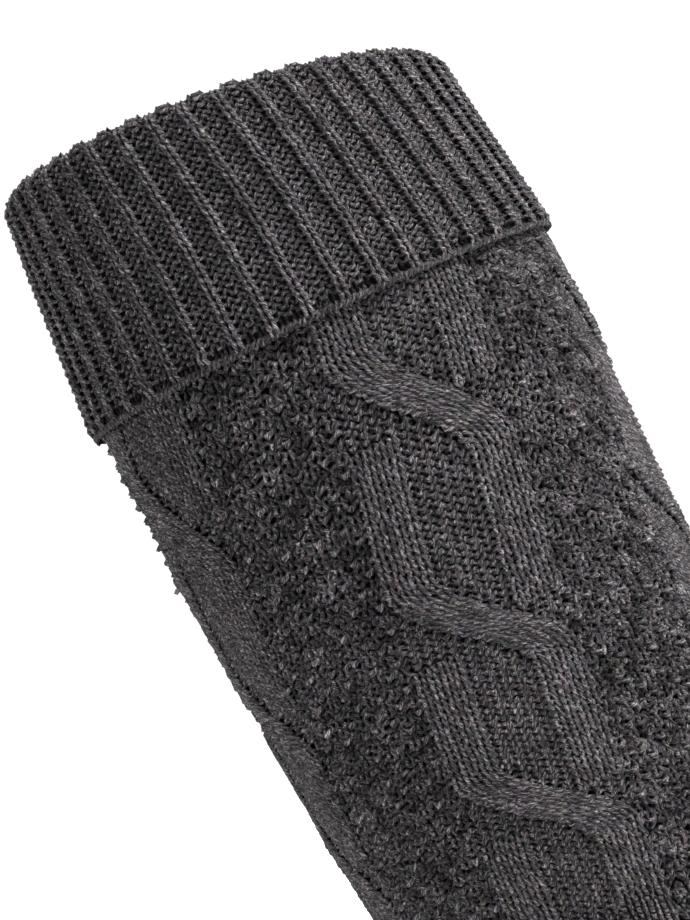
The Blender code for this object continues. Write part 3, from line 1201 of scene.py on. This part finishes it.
@dataclass
class CableLeg(Section):
    """The leg's five panels, each a cable of two ribbons beside a band of moss stitch."""

    panels: int = 5
    cable_wales: int = 13
    moss_wales: int = 10
    ribbon: int = 4
    cable_share: float = 0.53
    repeat_rows: int = 28
    first_crossing: int = 45
    crossing_half: float = 9.0
    tuck: float = 0.4
    bar_start: float = 2.5
    bar_end: float = 0.5
    bar_rise: float = 3.0
    bar_lift: float = 0.0007
    crossing_lift: float = 0.0009
    ground_lift: float = -0.0005
    moss_lift: float = 0.0007
    moss_hollow_shade: float = 0.68
    tone: float = 0.92
    moss_uneven: float = 3.0
    radius: float = 0.00070
    skin: float = -0.0005
    front_left: float = -0.29
    front_right: float = 0.225
    first_row: int = 28
    fine_rows: int = 92
    plain_row: int = 205
    end_row: int = 217
    ankle_skin: float = -0.0012

    def cable_row(self, row: int) -> tuple[np.ndarray, np.ndarray, np.ndarray, np.ndarray]:
        """Chart one row of the cable.

        Args:
            row: The row's number from the rim.

        Returns:
            The places in wales, the stitches, the lifts and the slants of its stitches.
        """
        half = self.repeat_rows / 2
        turn = (row - self.first_crossing + half) % self.repeat_rows - half
        wide = self.cable_wales
        band = self.ribbon
        grid = np.arange(wide) + 0.5
        bars = (grid < band) | (grid > wide - band)
        slant = np.zeros(wide)
        if abs(turn) >= self.crossing_half:
            stitch = np.where(bars, Stitch.KNIT.value, Stitch.PURL.value)
            return grid, stitch, np.where(bars, self.bar_lift, self.ground_lift), slant
        t = (turn / self.crossing_half + 1) / 2
        spare = wide - band
        start = spare * t * t * (3 - 2 * t)
        left = round(start)
        place = grid.copy()
        place[:left] = np.minimum(grid[:left], start - self.tuck)
        place[left + band :] = np.maximum(grid[left + band :], start + band + self.tuck)
        place[left : left + band] = start + 0.5 + np.arange(band)
        slant[left : left + band] = spare * 3 * t * (1 - t) / self.crossing_half
        knit = np.zeros(wide, bool)
        knit[:left] = bars[:left] & (turn >= self.bar_start)
        knit[left + band :] = bars[left + band :] & (turn <= self.bar_end)
        started = step(self.bar_start, self.bar_start + self.bar_rise, turn)
        ended = step(self.bar_end + 1, self.bar_end + 1 - self.bar_rise, turn)
        lift = np.full(wide, self.ground_lift)
        lift[:left] = np.where(knit[:left], mix(self.ground_lift, self.bar_lift, started), self.ground_lift)
        late = knit[left + band :]
        lift[left + band :] = np.where(late, mix(self.ground_lift, self.bar_lift, ended), self.ground_lift)
        knit[left : left + band] = True
        lift[left : left + band] = mix(self.bar_lift, self.crossing_lift, 4 * t * (1 - t))
        return place, np.where(knit, Stitch.KNIT.value, Stitch.PURL.value), lift, slant

    def chart(self, first: int, rows: int) -> Fabric:
        """Chart rows of the whole leg, with one more to close the last.

        Args:
            first: Number of the first row from the rim.
            rows: How many rows are knitted.

        Returns:
            The charted fabric.
        """
        wales = self.cable_wales + self.moss_wales
        place = np.empty((rows + 1, wales * self.panels))
        stitch = np.empty_like(place)
        lift = np.empty_like(place)
        lean = np.zeros_like(place)
        tone = np.full_like(place, self.tone)
        rough = np.repeat([1.0, self.moss_uneven], [self.cable_wales, self.moss_wales])
        uneven = np.tile(rough, (rows + 1, self.panels))
        arc = 360 / self.panels
        moss = np.arange(self.moss_wales)
        moss_place = self.cable_share + (1 - self.cable_share) * (moss + 0.5) / self.moss_wales
        for i in range(rows + 1):
            row = first + i
            at, kind, rise, slant = self.cable_row(row)
            cable_place = self.cable_share * at / self.cable_wales
            knit = (moss + row // 2) % 2 == 0
            moss_kind = np.where(knit, Stitch.KNIT.value, Stitch.PURL.value)
            moss_lift = np.where(knit, -self.moss_lift, self.moss_lift)
            one = np.concatenate([cable_place, moss_place]) - self.cable_share / 2
            if row >= self.plain_row:
                one = (np.arange(wales) + 0.5) / wales - self.cable_share / 2
                kind, moss_kind = np.ones(self.cable_wales), np.ones(self.moss_wales)
                rise, moss_lift, slant = 0 * kind, 0 * moss_kind, 0 * kind
                knit = np.zeros(self.moss_wales, bool)
            for panel in range(self.panels):
                span = slice(panel * wales, (panel + 1) * wales)
                place[i, span] = arc * (panel + one)
                stitch[i, span] = np.concatenate([kind, moss_kind])
                lift[i, span] = np.concatenate([rise, moss_lift])
                # Painted shade: the knit stitches of the moss, which sink, are painted darker.
                tone[i, span][self.cable_wales :] = np.where(knit, self.moss_hollow_shade, 1.0)
                lean[i, span][: self.cable_wales] = arc * self.cable_share * slant / self.cable_wales
        return Fabric(place, stitch, lift, uneven, tone, lean, float(first))

    def surface(self, place: np.ndarray, row: np.ndarray, out: np.ndarray) -> np.ndarray:
        """Find points of the leg.

        Args:
            place: Degrees round it from its first panel.
            row: Row numbers from the rim.
            out: Distances outwards.

        Returns:
            The points.
        """
        down = FORM.depth_of(row)
        skin = mix(self.skin, self.ankle_skin, step(self.plain_row, self.end_row, row))
        return FORM.leg(place + FORM.lean(down), down, out + skin)

    def knit(
        self,
        name: str,
        rows: tuple[int, int],
        gauge: Gauge,
        wales: tuple[int, int],
        seed: int,
        yarn: bpy.types.Material,
    ) -> None:
        """Knit one piece of the leg.

        Args:
            name: The piece's name.
            rows: Its first row and the row after its last.
            gauge: Its loops' shape and fineness.
            wales: First and last wale, the same number twice for the whole ring.
            seed: Seed of its unevenness.
            yarn: The yarn's material.
        """
        maker = MeshMaker()
        lay_yarn(self.chart(rows[0], rows[1] - rows[0]), gauge, self.surface, wales, maker, seed)
        self.finish(maker, name, YARN_MAP, yarn)

    def build(self, yarn: bpy.types.Material) -> None:
        """Knit the leg in bands, finest where it is seen from the front.

        Args:
            yarn: The yarn's material.
        """
        count = self.panels * (self.cable_wales + self.moss_wales)
        left = round(self.front_left * count)
        right = round(self.front_right * count)
        fine = Gauge(radius=self.radius)
        coarse = Gauge(radius=self.radius, samples=5, sides=3)
        plainest = Gauge(radius=self.radius, samples=4, sides=3)
        fine_end = self.first_row + self.fine_rows
        upper = np.linspace(self.first_row, fine_end, 3).astype(int)
        lower = np.linspace(fine_end, self.end_row, 3).astype(int)
        for number, rows in enumerate(zip(upper[:-1], upper[1:])):
            seed = SEED + rows[0]
            self.knit(f"leg_knit_front_{number}", rows, fine, (left, right), seed, yarn)
            self.knit(f"leg_knit_back_{number}", rows, coarse, (right, count + left), seed, yarn)
        for number, rows in enumerate(zip(lower[:-1], lower[1:])):
            self.knit(f"leg_knit_lower_{number}", rows, plainest, (0, 0), SEED, yarn)


@dataclass
class Wall(Section):
    """A section whose smooth wall is drawn with stocking stitch."""

    def skin(
        self,
        rings: list[np.ndarray],
        rows: list[float],
        shades: list[float],
        wales: int,
        joined: bool,
    ) -> MeshMaker:
        """Skin a list of rings as one closed wall.

        Args:
            rings: Points of each ring, in order along the wall.
            rows: Row number of each ring, for the map.
            shades: Brightness of each ring.
            wales: Stitches around.
            joined: Whether the last ring joins the first, where otherwise both are capped.

        Returns:
            The wall's faces.
        """
        around = len(rings[0])
        stitches = np.arange(around + 1) * wales / around
        levels = np.array(rows + rows[:1])[:, None]
        coords = np.stack(np.broadcast_arrays(stitches, levels), -1)
        maker = MeshMaker()
        maker.add_grid(np.array(rings)[None], coords[None], np.repeat(shades, around), joined)
        return maker


@dataclass
class Lining(Wall):
    """The inner face of a section: a smooth closed wall behind the loops."""

    start: float
    end: float
    levels: int
    around: int
    wales: int
    rows: tuple[float, float]
    inner: float
    outer: float
    painted_shade_behind: float = 0.15

    def build(self, surface: Callable, face: bpy.types.Material) -> None:
        """Make the wall between two distances off the skin.

        Args:
            surface: Function from angle, place along and distance outwards to points.
            face: Its material.
        """
        angle = np.arange(self.around) * 360 / self.around
        places = np.linspace(self.start, self.end, self.levels)
        rows = list(np.linspace(*self.rows, self.levels))
        rings = [surface(angle, np.full(self.around, place), self.outer) for place in places]
        rings += [surface(angle, np.full(self.around, place), self.inner) for place in places[::-1]]
        # Painted shade: the wall's outer side, seen only through the gaps between the loops, is painted
        # dark.
        shades = [self.painted_shade_behind] * self.levels + [1.0] * self.levels
        maker = self.skin(rings, rows + rows[::-1], shades, self.wales, True)
        self.finish(maker, f"{self.node}_lining", STITCH_MAP, face)


@dataclass
class PlainSection(Wall):
    """A section of plain stocking stitch: heel, foot or toe."""

    levels: int
    start: float = 0.0
    end: float = 1.0
    wales: int = 92
    around: int = 120
    course: float = 0.0022
    outer: float = 0.0003
    grafted: bool = False
    graft_turns: tuple[int, ...] = (30, 52, 68, 80, 88)
    graft_width: float = 0.72
    graft_depth: float = 0.0032

    def build(self, surface: Callable, face: bpy.types.Material) -> None:
        """Make the section's wall, outside and inside, closed at its end if that is grafted.

        Args:
            surface: Function from angle, place along and distance outwards to points.
            face: Its material.
        """
        angle = np.arange(self.around) * 360 / self.around
        places = np.linspace(self.start, self.end, self.levels)
        outer = [surface(angle, np.full(self.around, place), self.outer) for place in places]
        inner = [surface(angle, np.full(self.around, place), -FORM.wall) for place in places[::-1]]
        if self.grafted:
            outer += self.graft(outer[-1])
        lengths = [np.linalg.norm(b - a, axis=1).max() for a, b in zip(outer, outer[1:])]
        rows = [0.0] + list(np.cumsum(lengths) / self.course)
        rings = inner + outer
        shades = [1.0] * len(rings)
        maker = self.skin(rings, rows[: self.levels][::-1] + rows, shades, self.wales, not self.grafted)
        self.finish(maker, f"{self.node}_knit", STITCH_MAP, face)

    def graft(self, end: np.ndarray) -> list[np.ndarray]:
        """Round off and close the end of the toe.

        Args:
            end: The last ring of the open tube.

        Returns:
            Rings that shrink to the seam's line.
        """
        middle = end.mean(axis=0)
        rings = []
        for turned in self.graft_turns:
            angle = math.radians(turned)
            share = np.array([mix(self.graft_width, 1.0, math.cos(angle)), 1.0, math.cos(angle)])
            past = np.array([0.0, -self.graft_depth * math.sin(angle), 0.0])
            rings.append(middle + (end - middle) * share + past)
        return rings


@dataclass(frozen=True)
class Softbox:
    """A square light, placed in metres from the middle of the opening."""

    name: str
    place: tuple[float, float, float]
    size: float
    watts: float


@dataclass
class Studio:
    """Pale floor, soft light and the camera of the photograph."""

    image: tuple[int, int] = (690, 920)
    sensor_mm: float = 36.0
    focal_px: float = 1705.0
    distance: float = 0.420
    eye: float = -0.0841
    aside: float = -0.0092
    roll: float = 27.0
    near: float = 0.01
    floor_radius: float = 6.0
    floor_corners: int = 96
    floor_gap: float = 0.001
    room_light: float = 1.1
    aim: tuple[float, float, float] = (0.0, 0.0, -0.12)
    softboxes: tuple[Softbox, ...] = (
        Softbox("key_softbox", (1.05, -0.60, 0.70), 0.7, 52.0),
        Softbox("fill_softbox", (-0.9, -0.6, 0.1), 1.1, 5.0),
        Softbox("back_softbox", (-0.5, 1.1, 0.6), 1.0, 18.0),
    )

    def build(self) -> None:
        """Set up the camera, the floor, the room and the lights."""
        bpy.context.scene.view_settings.view_transform = "Standard"
        self.camera()
        self.floor()
        self.room()
        for softbox in self.softboxes:
            self.light(softbox)

    def camera(self) -> None:
        """Place the camera of the photograph."""
        scene = bpy.context.scene
        data = bpy.data.cameras.new("photo_camera")
        data.sensor_width = self.sensor_mm
        data.lens = self.focal_px / max(self.image) * data.sensor_width
        data.clip_start = self.near
        camera = bpy.data.objects.new("photo_camera", data)
        camera.location = (self.aside, -self.distance, self.eye)
        upright = Euler((math.radians(90), 0, 0)).to_matrix()
        rolled = upright @ Matrix.Rotation(math.radians(-self.roll), 3, "Z")
        camera.rotation_euler = rolled.to_euler()
        scene.collection.objects.link(camera)
        scene.camera = camera

    def floor(self) -> None:
        """Lay a pale floor under the sole."""
        bpy.ops.object.select_all(action="DESELECT")
        corners = self.floor_corners
        bpy.ops.mesh.primitive_circle_add(vertices=corners, radius=self.floor_radius, fill_type="NGON")
        floor = bpy.context.object
        floor.name = "floor"
        floor.data.transform(Matrix.Translation((0, 0, -FORM.height - self.floor_gap)))
        floor.data.materials.append(FloorPaint().build())

    def room(self) -> None:
        """Light everything softly from a white room."""
        world = bpy.data.worlds.new("white_room")
        world.use_nodes = True
        back = world.node_tree.nodes["Background"]
        back.inputs["Color"].default_value = (1.0, 1.0, 1.0, 1.0)
        back.inputs["Strength"].default_value = self.room_light
        bpy.context.scene.world = world

    def light(self, softbox: Softbox) -> None:
        """Hang a softbox aimed at the calf.

        Args:
            softbox: Its name, place, size and power.
        """
        data = bpy.data.lights.new(softbox.name, "AREA")
        data.shape = "SQUARE"
        data.size = softbox.size
        data.energy = softbox.watts
        lamp = bpy.data.objects.new(softbox.name, data)
        lamp.location = softbox.place
        aim = Vector(self.aim) - Vector(softbox.place)
        lamp.rotation_euler = aim.to_track_quat("-Z", "Y").to_euler()
        bpy.context.scene.collection.objects.link(lamp)


def line_cuff_and_leg(face: bpy.types.Material) -> None:
    """Make the inner faces of the leg and of the cuff, which goes on down inside the leg.

    Args:
        face: Their material.
    """
    leg = Lining(
        "leg",
        Slot.CABLE,
        start=FORM.under_cuff,
        end=FORM.leg_drop,
        levels=32,
        around=80,
        wales=120,
        rows=(26.0, 217.0),
        inner=-0.0026,
        outer=-0.0020,
    )
    leg.build(FORM.leg, face)
    cuff = Lining(
        "cuff",
        Slot.RIB,
        start=0.0006,
        end=FORM.cuff_depth + math.pi * FORM.fold_bend + FORM.under_cuff - 2 * FORM.rib_wall,
        levels=60,
        around=90,
        wales=135,
        rows=(0.0, 56.0),
        inner=-0.0014,
        outer=-0.0009,
    )
    cuff.build(FORM.cuff, face)


def main() -> None:
    """Knit the sock over its frame and set up the studio."""
    logging.basicConfig(level=logging.INFO, format="%(message)s")
    yarn = MarledYarn().build()
    face = KnittedFace().build()
    Studio().build()
    TurnedCuff("cuff", Slot.RIB).build(yarn)
    CableLeg("leg", Slot.CABLE).build(yarn)
    line_cuff_and_leg(face)
    PlainSection("heel", Slot.PLAIN, levels=40).build(FORM.heel, face)
    PlainSection("foot", Slot.PLAIN, levels=24).build(FORM.foot, face)
    PlainSection("toe", Slot.PLAIN, levels=20, start=1.0, end=2.0, grafted=True).build(FORM.foot, face)


if __name__ == "__main__":
    main()
